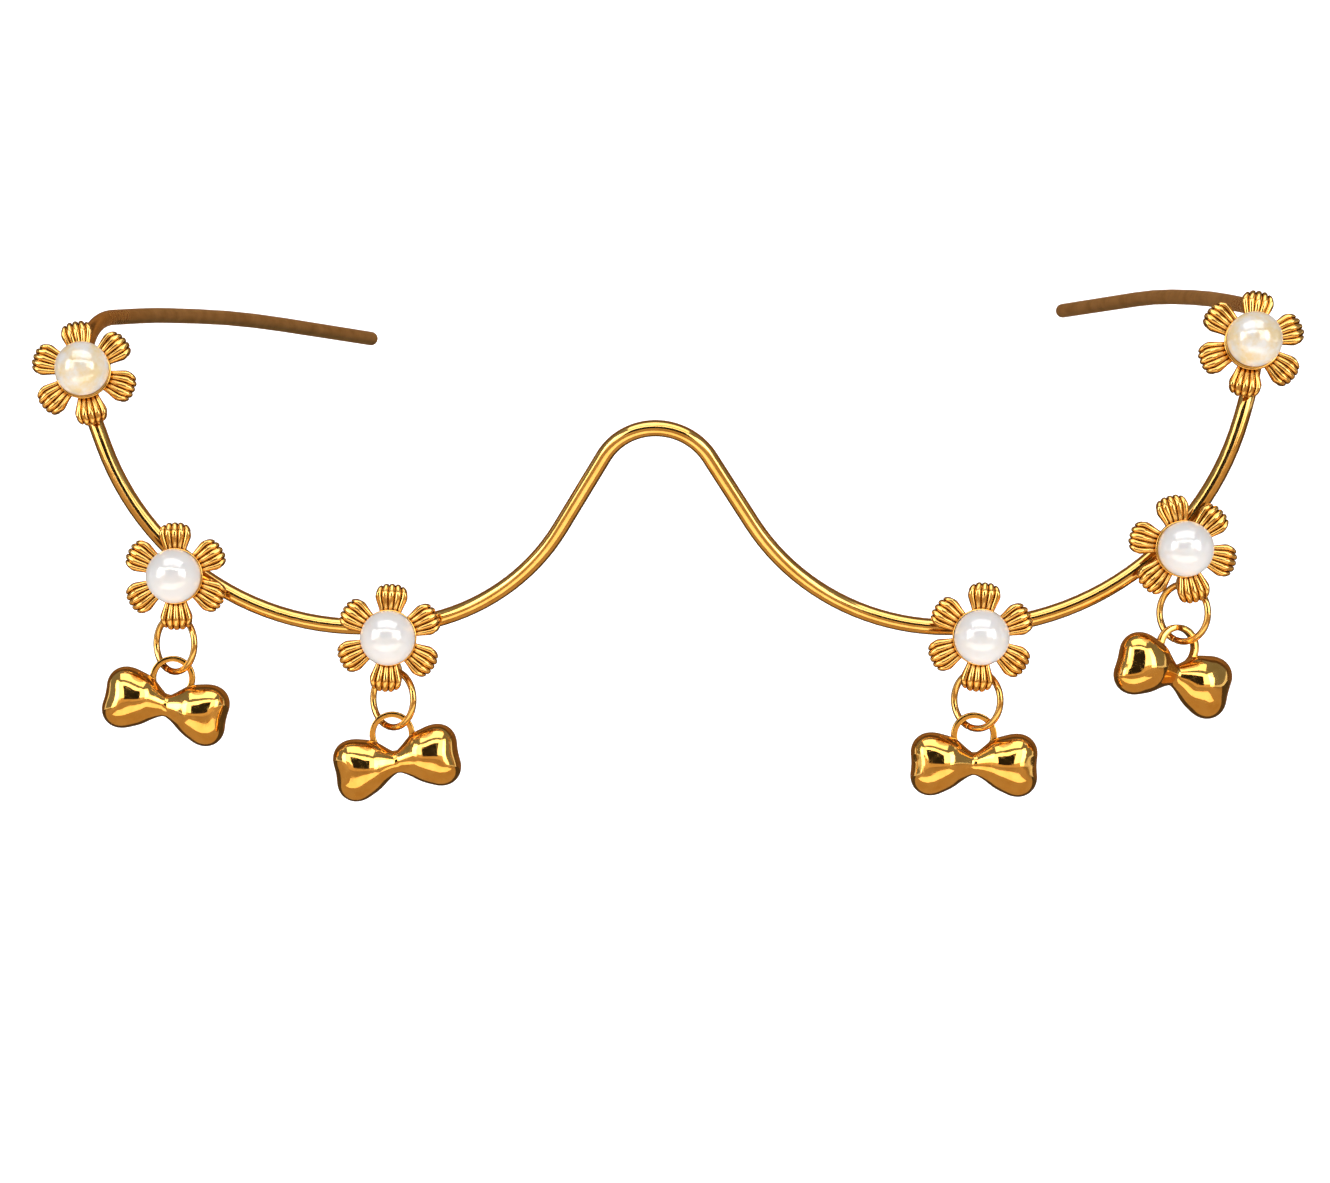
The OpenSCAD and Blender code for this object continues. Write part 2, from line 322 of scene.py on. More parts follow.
# The frame wire's finish: polished over the face, and browner and satin along the arms.
wireFinish = {
    "front": ((1.0, 0.6, 0.18), (0.86, 0.48, 0.12)),
    "arms": ((0.88, 0.58, 0.24), (0.7, 0.43, 0.16)),
    "changeFrom": 0.013,
    "changeTo": 0.03,
    "cloudScale": 500.0,
    "cloudWave": 0.1,
    "scratchScale": 1300.0,
    "scratchStretch": 10.0,
    "scratchRoughness": 0.07,
    "frontRoughness": 0.1,
    "armRoughness": 0.36,
}


def wireMaterial():
    finish = wireFinish
    material, tree, surface = newMaterial("wireGold")
    links = tree.links
    place = tree.nodes.new("ShaderNodeTexCoord")
    axes = tree.nodes.new("ShaderNodeSeparateXYZ")
    links.new(place.outputs["Object"], axes.inputs["Vector"])
    backward = mapValue(tree, axes.outputs["Y"], 0, 1, finish["changeFrom"], finish["changeTo"])
    plating = useGroup(tree, "plating", Scale=finish["cloudScale"], Wave=finish["cloudWave"])
    stretch = finish["scratchStretch"]
    scratches = useGroup(tree, "scratches", Scale=finish["scratchScale"], Stretch=stretch)
    cloud = mapValue(tree, plating.outputs["Mask"], 0, 1, plate["cloudFrom"], plate["cloudTo"])
    front = mixColours(tree, cloud, *finish["front"])
    arms = mixColours(tree, cloud, *finish["arms"])
    links.new(mixColours(tree, backward, front, arms), surface.inputs["Base Color"])
    shine = tree.nodes.new("ShaderNodeMath")
    shine.operation = "ADD"
    satin = mapValue(tree, backward, finish["frontRoughness"], finish["armRoughness"])
    links.new(satin, shine.inputs[0])
    links.new(mapValue(tree, scratches.outputs["Mask"], 0, finish["scratchRoughness"]), shine.inputs[1])
    links.new(shine.outputs["Value"], surface.inputs["Roughness"])
    links.new(plating.outputs["Normal"], surface.inputs["Normal"])
    surface.inputs["Metallic"].default_value = 1
    return material


# Imitation pearl: cream and rose lustre under a clear coat, warmer where the glue shows through.
pearlFinish = {
    "pale": (0.84, 0.82, 0.81),
    "cream": (0.8, 0.73, 0.66),
    "warm": (0.85, 0.66, 0.36),
    "cloudScale": 420.0,
    "creamShare": 0.35,
    "creamFrom": 0.35,
    "creamTo": 0.75,
    "warmFrom": 0.4,
    "warmTo": 0.6,
    "warmLeast": 0.1,
    "bumpStrength": 0.08,
    "bumpDepth": 0.00005,
    "sockets": {
        "Roughness": 0.22,
        "IOR": 2.1,
        "Coat IOR": 1.7,
        "Subsurface Weight": 0.25,
        "Subsurface Radius": (0.0012, 0.0009, 0.0007),
        "Subsurface Scale": 1,
        "Sheen Weight": 0.25,
        "Coat Weight": 1,
        "Coat Roughness": 0.08,
    },
}


def pearlMaterial():
    finish = pearlFinish
    material, tree, surface = newMaterial("pearlLustre")
    links = tree.links
    place = tree.nodes.new("ShaderNodeTexCoord")
    warm = tree.nodes.new("ShaderNodeAttribute")
    warm.attribute_name = "warmth"
    cloud = newNode(tree, "ShaderNodeTexNoise", Scale=finish["cloudScale"], Detail=4.0, Roughness=0.6)
    links.new(place.outputs["Object"], cloud.inputs["Vector"])
    density = cloud.outputs["Fac"]
    veil = mapValue(tree, density, 0, finish["creamShare"], finish["creamFrom"], finish["creamTo"])
    clouded = mixColours(tree, veil, finish["pale"], finish["cream"])
    patch = tree.nodes.new("ShaderNodeMath")
    patch.operation = "MULTIPLY"
    links.new(warm.outputs["Fac"], patch.inputs[0])
    glue = mapValue(tree, density, finish["warmLeast"], 1, finish["warmFrom"], finish["warmTo"])
    links.new(glue, patch.inputs[1])
    warmed = mixColours(tree, patch.outputs["Value"], clouded, finish["warm"])
    links.new(warmed, surface.inputs["Base Color"])
    bump = newNode(tree, "ShaderNodeBump", Strength=finish["bumpStrength"], Distance=finish["bumpDepth"])
    links.new(density, bump.inputs["Height"])
    links.new(bump.outputs["Normal"], surface.inputs["Normal"])
    for socket, value in finish["sockets"].items():
        surface.inputs[socket].default_value = value
    return material


wireGold = wireMaterial()
castGold = goldMaterial("castGold", *golds["castGold"])
bowGold = goldMaterial("bowGold", *golds["bowGold"])
ringGold = goldMaterial("ringGold", *golds["ringGold"])
solderGold = goldMaterial("solderGold", *golds["solderGold"])
pearlLustre = pearlMaterial()
print("materials made")


# Frame wire: straight runs joined by round bends, and a round section swept along them.
# Side bends run from the nose outwards, and a corner is where two straight runs would meet.
wire = {
    "radius": 0.895,
    "sides": 40,
    "bendStep": 3.0,
    "domeStep": 10,
    "bridgeCorner": (0.1, -2.45, 6.75),
    "bridgeBend": 6.7,
    "leftCorners": [
        (-18, 8, -20.7),
        (-55.2, 8.6, -20.7),
        (-68.2, 10.2, 13.6),
        (-62, 32, 15.7),
        (-56.5, 54, 16.9),
    ],
    "leftTip": (-44.61, 84.98, 16.2),
    "rightCorners": [
        (17.2, 8, -20.7),
        (56.6, 8.6, -20.7),
        (66.6, 10.2, 13.8),
        (60.8, 40, 17.6),
        (55.5, 56, 18.9),
    ],
    "rightTip": (44.61, 84.98, 19.3),
    "sideBends": (24.6, 31.5, 13, 150, 150),
}


# Points of a bent wire in millimetres: each corner is rounded to its own bend radius.
def bentPath(corners, bends, step, endSteps):
    points = [Vector(corners[0])]
    for before, corner, after, bend in zip(corners, corners[1:], corners[2:], bends):
        inward = (Vector(corner) - Vector(before)).normalized()
        outward = (Vector(after) - Vector(corner)).normalized()
        turn = inward.angle(outward)
        cut = bend * math.tan(turn / 2)
        start = Vector(corner) - inward * cut
        side = (outward - inward * inward.dot(outward)).normalized()
        count = max(2, math.ceil(math.degrees(turn) / step))
        for i in range(count + 1):
            a = turn * i / count
            points.append(start + inward * bend * math.sin(a) + side * bend * (1 - math.cos(a)))
    points.append(Vector(corners[-1]))
    return thickenEnds(points, endSteps)


# Adds closely spaced points near both ends, so the domed ends come out round.
def thickenEnds(points, steps):
    dense = []
    for end, following in ((points[0], points[1]), (points[-1], points[-2])):
        direction = (following - end).normalized()
        dense.append([end + direction * s for s in steps])
    return [points[0]] + dense[0] + points[1:-1] + dense[1][::-1] + [points[-1]]


# Node tree: sweeps a round section along the edges of a path, and rounds off its two ends.
def sweepTree():
    tree = bpy.data.node_groups.new("sweepAlongPath", "GeometryNodeTree")
    for label, kind, value in (
        ("Path", "NodeSocketGeometry", None),
        ("Radius", "NodeSocketFloat", 0.001),
        ("Dome", "NodeSocketFloat", 1.0),
        ("Sides", "NodeSocketInt", 24),
        ("Surface", "NodeSocketMaterial", None),
    ):
        socket = tree.interface.new_socket(label, in_out="INPUT", socket_type=kind)
        if value is not None:
            socket.default_value = value
    tree.interface.new_socket("Wire", in_out="OUTPUT", socket_type="NodeSocketGeometry")
    links = tree.links
    given = tree.nodes.new("NodeGroupInput")
    result = tree.nodes.new("NodeGroupOutput")
    curve = tree.nodes.new("GeometryNodeMeshToCurve")
    along = tree.nodes.new("GeometryNodeSplineParameter")
    whole = tree.nodes.new("GeometryNodeSplineLength")
    section = tree.nodes.new("GeometryNodeCurvePrimitiveCircle")
    sweep = tree.nodes.new("GeometryNodeCurveToMesh")
    sweep.inputs["Fill Caps"].default_value = True
    smooth = tree.nodes.new("GeometryNodeSetShadeSmooth")
    finish = tree.nodes.new("GeometryNodeSetMaterial")
    real = tree.nodes.new("GeometryNodeRealizeInstances")

    def calculate(operation, first, second=None):
        node = tree.nodes.new("ShaderNodeMath")
        node.operation = operation
        for socket, value in zip(node.inputs, (first, second)):
            if isinstance(value, (int, float)):
                socket.default_value = value
            elif value is not None:
                links.new(value, socket)
        return node.outputs["Value"]

    leastScale = 0.02
    left = calculate("SUBTRACT", whole.outputs["Length"], along.outputs["Length"])
    nearest = calculate("MINIMUM", along.outputs["Length"], left)
    reach = calculate("MULTIPLY", given.outputs["Radius"], given.outputs["Dome"])
    depth = calculate("MAXIMUM", calculate("SUBTRACT", 1, calculate("DIVIDE", nearest, reach)), 0)
    lowered = calculate("SUBTRACT", 1, calculate("POWER", depth, 2))
    domed = calculate("SQRT", calculate("MAXIMUM", lowered, 0))
    links.new(given.outputs["Path"], curve.inputs["Mesh"])
    links.new(given.outputs["Sides"], section.inputs["Resolution"])
    links.new(given.outputs["Radius"], section.inputs["Radius"])
    links.new(curve.outputs["Curve"], sweep.inputs["Curve"])
    links.new(section.outputs["Curve"], sweep.inputs["Profile Curve"])
    links.new(calculate("MAXIMUM", domed, leastScale), sweep.inputs["Scale"])
    links.new(sweep.outputs["Mesh"], smooth.inputs["Geometry"])
    links.new(smooth.outputs["Geometry"], real.inputs["Geometry"])
    links.new(real.outputs["Geometry"], finish.inputs["Geometry"])
    links.new(given.outputs["Surface"], finish.inputs["Material"])
    links.new(finish.outputs["Geometry"], result.inputs["Wire"])
    return tree


sweepAlongPath = sweepTree()


def pathPiece(name, points):
    mesh = bpy.data.meshes.new(name)
    edges = [(i, i + 1) for i in range(len(points) - 1)]
    mesh.from_pydata([tuple(p * mm) for p in points], edges, [])
    piece = bpy.data.objects.new(name, mesh)
    bpy.context.scene.collection.objects.link(piece)
    return piece


def weldAll(piece):
    distance = 0.000001
    shape = bmesh.new()
    shape.from_mesh(piece.data)
    bmesh.ops.remove_doubles(shape, verts=shape.verts, dist=distance)
    bmesh.ops.recalc_face_normals(shape, faces=shape.faces)
    shape.to_mesh(piece.data)
    shape.free()
    piece.data.update()
    return piece


def makeFrameWire():
    corners = [wire["leftTip"], *wire["leftCorners"][::-1], wire["bridgeCorner"]]
    corners += [*wire["rightCorners"], wire["rightTip"]]
    bends = [*wire["sideBends"][::-1], wire["bridgeBend"], *wire["sideBends"]]
    domeAngles = range(wire["domeStep"], 90 + wire["domeStep"], wire["domeStep"])
    dome = [wire["radius"] * (1 - math.cos(math.radians(a))) for a in domeAngles]
    path = pathPiece("frameWire", bentPath(corners, bends, wire["bendStep"], dome))
    values = {"Radius": wire["radius"] * mm, "Dome": 1.0, "Sides": wire["sides"], "Surface": wireGold}
    piece = weldAll(runNodes(path, sweepAlongPath, **values))
    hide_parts("frame_wire")
    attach(piece, "frame")


makeFrameWire()
print("frame wire made")


# Jump rings: the same sweep round a circle that is cut once.
ring = {
    "radius": 3.125,
    "wireRadius": 0.375,
    "yaw": -36,
    "cutAt": 250,
    "cutGap": 0.05,
    "endRounding": 0.25,
    "endSteps": (0.012, 0.03, 0.06, 0.1),
    "sides": 20,
    "steps": 96,
}


def makeJumpRing(name):
    gap = ring["cutGap"] / ring["radius"] / 2
    start = math.radians(ring["cutAt"]) + gap
    sweepAngle = 2 * math.pi - 2 * gap
    turned = Matrix.Rotation(math.radians(ring["yaw"]), 3, "Z")
    count = ring["steps"]
    angles = [start + sweepAngle * i / count for i in range(count + 1)]
    circle = [turned @ Vector((math.cos(a), 0, math.sin(a))) * ring["radius"] for a in angles]
    centre = boxCentre("jump_ring_" + name) / mm
    path = pathPiece("jumpRing_" + name, thickenEnds([p + centre for p in circle], ring["endSteps"]))
    values = {"Radius": ring["wireRadius"] * mm, "Dome": ring["endRounding"], "Sides": ring["sides"]}
    piece = weldAll(runNodes(path, sweepAlongPath, Surface=ringGold, **values))
    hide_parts("jump_ring_" + name)
    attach(piece, "ring_" + name)


hungStations = [name for name, station in stations.items() if "tilt" in station]
for hung in hungStations:
    makeJumpRing(hung)
print("jump rings made")


# Turns a profile of (radius, height) points round the Z axis. A point on the axis makes a closed pole.
def revolve(profile, segments, loop=False):
    points = []
    rows = []
    onAxis = 0.000001
    for radius, height in profile:
        if radius < onAxis:
            rows.append([len(points)] * segments)
            points.append((0, 0, height))
        else:
            rows.append(list(range(len(points), len(points) + segments)))
            for i in range(segments):
                a = 2 * math.pi * i / segments
                points.append((radius * math.cos(a), radius * math.sin(a), height))
    if loop:
        rows.append(rows[0])
    faces = []
    for lower, upper in zip(rows, rows[1:]):
        for i in range(segments):
            k = (i + 1) % segments
            corners = [lower[i], lower[k], upper[k], upper[i]]
            face = [c for n, c in enumerate(corners) if c not in corners[:n]]
            if len(face) > 2:
                faces.append(face)
    return points, faces


# Rounds the corners of a profile with small arcs.
def rounded(corners, radius, loop=False):
    points = []
    steps = 4
    mostCut = 0.45
    count = len(corners)
    for i, corner in enumerate(corners):
        here = Vector(corner)
        if not loop and i in (0, count - 1):
            points.append(here)
            continue
        before = Vector(corners[i - 1]) - here
        after = Vector(corners[(i + 1) % count]) - here
        cut = min(radius, before.length * mostCut, after.length * mostCut)
        first = here + before.normalized() * cut
        last = here + after.normalized() * cut
        for k in range(steps + 1):
            t = k / steps
            points.append(first * (1 - t) ** 2 + here * 2 * t * (1 - t) + last * t ** 2)
    return [tuple(p) for p in points]


# Flowers: one ribbed petal, set round the cup by a node tree. The petal lies along Y, with Z its height.
flower = {
    "petals": 6,
    "tipRadius": 5.98,
    "rootRadius": 2.2,
    "rootHalfWidth": 1.1,
    "halfWidth": 1.9,
    "widenOver": 2.9,
    "narrowBy": 0.1,
    "narrowFrom": 0.72,
    "narrowOver": 0.28,
    "backHeight": 0.5,
    "ribs": 5,
    "stepsPerRib": 10,
    "arch": 1.35,
    "archTop": 4.7,
    "ribHeight": 0.42,
    "ribLevel": 0.35,
    "ribRootShare": 0.6,
    "ribTipShare": 0.4,
    "ribFrom": 2.9,
    "ribOver": 1.6,
    "shoulder": 0.7,
    "shoulderPower": 3,
    "scallop": 0.26,
    "curl": 0.35,
    "curlOver": 1.4,
    "edgeDroop": 0.3,
    "droopPower": 2.4,
    "droopFrom": 2.6,
    "droopOver": 2,
    "tipRound": 0.28,
    "roundFrom": 0.86,
    "roundOver": 0.14,
    "sheet": 0.42,
    "thinnest": 0.12,
    "glueGap": 0.03,
    "discRadius": 2.6,
    "rimRadius": 3.15,
    "rimHeight": 2.3,
    "rimRounding": 0.2,
    "seatSteps": 12,
    "cupSides": 72,
    "pearlHeight": 3.7,
    "along": 26,
    "alongPower": 1.35,
}


def smoothStep(x):
    x = np.clip(x, 0, 1)
    return x * x * (3 - 2 * x)


def makePetal():
    f = flower
    ribs = f["ribs"]
    steps = f["stepsPerRib"]
    ribPlace = -np.cos(np.pi * np.arange(steps) / steps)
    across = np.concatenate([(2 * (i + (ribPlace + 1) / 2) / ribs - 1) for i in range(ribs)] + [[1.0]])
    withinRib = np.concatenate([ribPlace] * ribs + [[1.0]])
    bulge = np.sqrt(np.clip(1 - withinRib ** 2, 0, 1))
    along = 1 - (1 - np.linspace(0, 1, f["along"] + 1)) ** f["alongPower"]
    u, t = np.meshgrid(across, along)
    rib = np.meshgrid(bulge, along)[0]
    tip = f["tipRadius"] - f["shoulder"] * np.abs(u) ** f["shoulderPower"] - f["scallop"] * (1 - rib)
    y = f["rootRadius"] + (tip - f["rootRadius"]) * t
    widening = smoothStep((y - f["rootRadius"]) / f["widenOver"])
    narrowing = 1 - f["narrowBy"] * smoothStep((t - f["narrowFrom"]) / f["narrowOver"])
    halfWidth = (f["rootHalfWidth"] + (f["halfWidth"] - f["rootHalfWidth"]) * widening) * narrowing
    x = u * halfWidth
    rise = f["arch"] * (1 - ((y - f["archTop"]) / f["archTop"]) ** 2)
    curl = f["curl"] * smoothStep((y - f["archTop"]) / f["curlOver"])
    ribShare = f["ribRootShare"] + f["ribTipShare"] * smoothStep((y - f["ribFrom"]) / f["ribOver"])
    ribHeight = f["ribHeight"] * ribShare
    pastRound = np.clip(t - f["roundFrom"], 0, None) / f["roundOver"]
    roundOver = 1 - np.sqrt(np.clip(1 - pastRound ** 2, 0, 1))
    bent = smoothStep((y - f["droopFrom"]) / f["droopOver"])
    droop = f["edgeDroop"] * np.abs(u) ** f["droopPower"] * bent
    middle = f["backHeight"] + rise - curl - droop
    front = middle + ribHeight * (rib - f["ribLevel"]) - f["tipRound"] * roundOver
    back = np.minimum(middle - f["sheet"], front - f["thinnest"])
    rows, columns = x.shape
    points = np.concatenate([np.stack([x, y, z], -1).reshape(-1, 3) for z in (front, back)])
    offset = rows * columns
    faces = []
    for r in range(rows - 1):
        for c in range(columns - 1):
            a = r * columns + c
            faces.append((a, a + 1, a + columns + 1, a + columns))
            faces.append((a + offset, a + columns + offset, a + columns + 1 + offset, a + 1 + offset))
    edge = list(range(columns)) + [r * columns + columns - 1 for r in range(1, rows)]
    edge += list(range(rows * columns - 2, (rows - 1) * columns - 1, -1))
    edge += [r * columns for r in range(rows - 2, 0, -1)]
    for a, b in zip(edge, edge[1:] + edge[:1]):
        faces.append((b, a, a + offset, b + offset))
    return meshPiece("petal", points * mm, faces)


# A smooth bead with its half-drilled hole.
pearlBead = {"radius": 3.0, "drillRadius": 0.45, "drillDepth": 0.8, "segments": 80, "rings": 40}


# The cup that the pearl sits in: a short cone with a rounded rim.
def makeCup():
    seat = pearlBead["radius"] + flower["glueGap"]
    rimInner = math.sqrt(seat ** 2 - (flower["pearlHeight"] - flower["rimHeight"]) ** 2)
    drill = pearlBead["drillRadius"]
    rim = flower["rimHeight"]
    outline = [(drill, 0), (flower["discRadius"], 0), (flower["rimRadius"], rim), (rimInner, rim)]
    profile = rounded(outline, flower["rimRounding"])
    low = math.asin(drill / seat)
    high = math.asin(rimInner / seat)
    for i in range(1, flower["seatSteps"] + 1):
        a = high + (low - high) * i / flower["seatSteps"]
        profile.append((seat * math.sin(a), flower["pearlHeight"] - seat * math.cos(a)))
    points, faces = revolve(profile, flower["cupSides"], loop=True)
    return meshPiece("cup", np.array(points) * mm, faces)


# Node tree: sets a petal round the axis as many times as asked, and adds the cup.
def flowerTree():
    tree = bpy.data.node_groups.new("petalsRoundCup", "GeometryNodeTree")
    for label, kind in (
        ("Petal", "NodeSocketGeometry"),
        ("Cup", "NodeSocketObject"),
        ("Petals", "NodeSocketInt"),
        ("Turn", "NodeSocketFloat"),
        ("Surface", "NodeSocketMaterial"),
    ):
        tree.interface.new_socket(label, in_out="INPUT", socket_type=kind)
    tree.interface.new_socket("Flower", in_out="OUTPUT", socket_type="NodeSocketGeometry")
    links = tree.links
    given = tree.nodes.new("NodeGroupInput")
    result = tree.nodes.new("NodeGroupOutput")
    spots = tree.nodes.new("GeometryNodeMeshLine")
    spots.inputs["Offset"].default_value = (0, 0, 0)
    index = tree.nodes.new("GeometryNodeInputIndex")
    share = tree.nodes.new("ShaderNodeMath")
    share.operation = "DIVIDE"
    angle = tree.nodes.new("ShaderNodeMath")
    angle.operation = "MULTIPLY_ADD"
    angle.inputs[1].default_value = 2 * math.pi
    turned = tree.nodes.new("ShaderNodeCombineXYZ")
    place = tree.nodes.new("GeometryNodeInstanceOnPoints")
    cup = tree.nodes.new("GeometryNodeObjectInfo")
    join = tree.nodes.new("GeometryNodeJoinGeometry")
    real = tree.nodes.new("GeometryNodeRealizeInstances")
    finish = tree.nodes.new("GeometryNodeSetMaterial")
    links.new(given.outputs["Petals"], spots.inputs["Count"])
    links.new(index.outputs["Index"], share.inputs[0])
    links.new(given.outputs["Petals"], share.inputs[1])
    links.new(share.outputs["Value"], angle.inputs[0])
    links.new(given.outputs["Turn"], angle.inputs[2])
    links.new(angle.outputs["Value"], turned.inputs["Z"])
    links.new(spots.outputs["Mesh"], place.inputs["Points"])
    links.new(given.outputs["Petal"], place.inputs["Instance"])
    links.new(turned.outputs["Vector"], place.inputs["Rotation"])
    links.new(given.outputs["Cup"], cup.inputs["Object"])
    links.new(place.outputs["Instances"], join.inputs["Geometry"])
    links.new(cup.outputs["Geometry"], join.inputs["Geometry"])
    links.new(join.outputs["Geometry"], real.inputs["Geometry"])
    links.new(real.outputs["Geometry"], finish.inputs["Geometry"])
    links.new(given.outputs["Surface"], finish.inputs["Material"])
    links.new(finish.outputs["Geometry"], result.inputs["Flower"])
    return tree


# A flower's own frame: Z out of its face, Y up, origin at the middle of its back.
def flowerPlace(name):
    station = stations[name]
    turn = Matrix.Rotation(math.radians(station["turn"]), 4, "Z")
    facing = turn @ Matrix.Rotation(math.radians(90 - station["pitch"]), 4, "X")
    outward = (facing @ Vector((0, 0, 1, 0))).to_3d()
    centre = boxCentre("pearl_" + name) - outward * flower["pearlHeight"] * mm
    return Matrix.Translation(centre) @ facing


def makeFlowers():
    petal = makePetal()
    cup = makeCup()
    tree = flowerTree()
    for name, station in stations.items():
        source = copyPlaced(petal, "flowerSource", Matrix())
        values = {"Cup": cup, "Petals": flower["petals"], "Turn": math.radians(station["roll"])}
        runNodes(source, tree, Surface=castGold, **values)
        piece = weldAll(copyPlaced(source, "flower_" + name, flowerPlace(name)))
        discard(source)
        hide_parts("flower_" + name)
        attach(piece, "frame")
    discard(petal)
    discard(cup)


makeFlowers()
print("flowers made")


# Pearls: one bead, copied into each cup.
def makePearls():
    r = pearlBead["radius"]
    drill = pearlBead["drillRadius"]
    depth = pearlBead["drillDepth"]
    mouth = math.asin(drill / r)
    profile = [(0, depth), (drill, depth)]
    for i in range(pearlBead["rings"] + 1):
        a = mouth + (math.pi - mouth) * i / pearlBead["rings"]
        profile.append((r * math.sin(a), -r * math.cos(a)))
    profile[-1] = (0, r)
    points, faces = revolve(profile, pearlBead["segments"])
    bead = meshPiece("bead", np.array(points) * mm, faces)
    for name, station in stations.items():
        lifted = Matrix.Translation((0, 0, flower["pearlHeight"] * mm))
        piece = weldAll(copyPlaced(bead, "pearl_" + name, flowerPlace(name) @ lifted))
        give(piece, pearlLustre)
        warmth = piece.data.attributes.new("warmth", "FLOAT", "POINT")
        warmth.data.foreach_set("value", [station["warm"]] * len(piece.data.vertices))
        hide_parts("pearl_" + name)
        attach(piece, "frame")
    discard(bead)


makePearls()
print("pearls made")


# Bow charms: the puffed body is a blend of round cones, and the bail is a turned band behind it.
bow = {
    "width": 13.84,
    "height": 6.88,
    "bumpRadius": 2.04,
    "neckRadius": 0.3,
    "puffReach": 3.6,
    "puffRadius": 2.55,
    "shoulderAt": (2.75, 1.3),
    "shoulderRadius": 1.38,
    "waistRadius": 0.55,
    "cleftBlend": 1.1,
    "lobeBlend": 1.4,
    "waistBlend": 0.25,
    "bailInner": 1.85,
    "bailOuter": 2.5,
    "bailDepth": 1.0,
    "bailBehind": 0.65,
    "waistDrop": 3.2,
    "grooveHalf": 0.14,
    "grooveDepth": 0.1,
    "bailRounding": 0.12,
    "bailSides": 96,
    "meshStep": 0.16,
    "spareCells": 3,
    "spareDepth": 0.4,
}


# Soft union of two distances: k is the width of the blend.
def blendMin(a, b, k):
    h = np.clip(0.5 + 0.5 * (b - a) / k, 0, 1)
    return b + (a - b) * h - k * h * (1 - h)


# Distance to a cone with rounded ends, of radius r1 at a and r2 at b.
def roundCone(p, a, b, r1, r2):
    axis = b - a
    length = math.sqrt(float(axis @ axis))
    taper = (r2 - r1) / length
    slope = math.sqrt(1 - taper * taper)
    along = (p - a) @ axis / length
    across = np.sqrt(np.clip(((p - a) ** 2).sum(-1) - along ** 2, 0, None))
    touching = along * slope + across * taper
    low = np.sqrt(across ** 2 + along ** 2) - r1
    high = np.sqrt(across ** 2 + (along - length) ** 2) - r2
    side = across * slope - along * taper - r1
    return np.where(touching < 0, low, np.where(touching > length * slope, high, side))


def bowDistance(p):
    waist = np.array([0, -bow["waistDrop"], bow["bailBehind"]])
    sides = []
    for s in (-1, 1):
        cones = []
        for h in (-1, 1):
            x = s * (bow["width"] / 2 - bow["bumpRadius"])
            y = h * (bow["height"] / 2 - bow["bumpRadius"])
            bump = waist + np.array([x, y, 0])
            cones.append(roundCone(p, waist, bump, bow["neckRadius"], bow["bumpRadius"]))
        puff = waist + np.array([s * bow["puffReach"], 0, 0])
        middle = roundCone(p, waist, puff, bow["neckRadius"], bow["puffRadius"])
        corner = waist + np.array([s * bow["shoulderAt"][0], bow["shoulderAt"][1], 0])
        shoulder = roundCone(p, waist, corner, bow["neckRadius"], bow["shoulderRadius"])
        middle = blendMin(middle, shoulder, bow["lobeBlend"])
        bumps = blendMin(cones[0], cones[1], bow["cleftBlend"])
        sides.append(blendMin(bumps, middle, bow["lobeBlend"]))
    body = blendMin(sides[0], sides[1], bow["waistBlend"])
    knot = np.sqrt(((p - waist) ** 2).sum(-1)) - bow["waistRadius"]
    return blendMin(body, knot, bow["waistBlend"])


# Mesh of the surface where a distance is zero: one point in each crossed cell, moved onto the surface.
def surfaceMesh(distance, low, high, step):
    counts = [int(math.ceil((b - a) / step)) + 1 for a, b in zip(low, high)]
    axes = [a + step * np.arange(n) for a, n in zip(low, counts)]
    grid = np.stack(np.meshgrid(*axes, indexing="ij"), -1)
    value = distance(grid)
    inside = value < 0
    total = np.zeros([n - 1 for n in counts] + [3])
    hits = np.zeros([n - 1 for n in counts])
    crossed = []
    for axis in range(3):
        first = [slice(None)] * 3
        second = [slice(None)] * 3
        first[axis] = slice(0, -1)
        second[axis] = slice(1, None)
        a, b = value[tuple(first)], value[tuple(second)]
        change = (a < 0) != (b < 0)
        share = np.where(change, a / np.where(change, a - b, 1), 0)
        point = grid[tuple(first)].copy()
        point[..., axis] += share * step
        others = [k for k in range(3) if k != axis]
        for shift in ((0, 0), (0, 1), (1, 0), (1, 1)):
            source = [slice(None)] * 3
            target = [slice(None)] * 3
            for k, d in zip(others, shift):
                source[k] = slice(1, None) if d else slice(0, -1)
            cell = tuple(source)
            total += np.where(change[cell][..., None], point[cell], 0)
            hits += change[cell]
        crossed.append((axis, others, np.argwhere(change), inside[tuple(first)][change]))
    used = hits > 0
    number = -np.ones(hits.shape, int)
    number[used] = np.arange(used.sum())
    points = total[used] / hits[used][:, None]
    faces = []
    for axis, others, places, startsInside in crossed:
        u, v = others
        keep = (places[:, u] > 0) & (places[:, v] > 0)
        keep &= (places[:, u] < counts[u] - 1) & (places[:, v] < counts[v] - 1)
        for place, starts in zip(places[keep], startsInside[keep]):
            loop = []
            for du, dv in ((1, 1), (0, 1), (0, 0), (1, 0)):
                cell = place.copy()
                cell[u] -= du
                cell[v] -= dv
                loop.append(number[tuple(cell)])
            if starts == (axis == 1):
                loop.reverse()
            faces.append(loop)
    return moveOnto(distance, points), faces


# Moves points onto the surface where a distance is zero, along its slope.
def moveOnto(distance, points):
    rounds = 4
    nudge = 0.001
    leastSlope = 0.05
    for _ in range(rounds):
        slope = np.zeros_like(points)
        for k in range(3):
            step = np.zeros(3)
            step[k] = nudge
            slope[:, k] = (distance(points + step) - distance(points - step)) / (2 * nudge)
        size = np.clip((slope ** 2).sum(-1), leastSlope, None)
        points = points - slope * (distance(points) / size)[:, None]
    return points


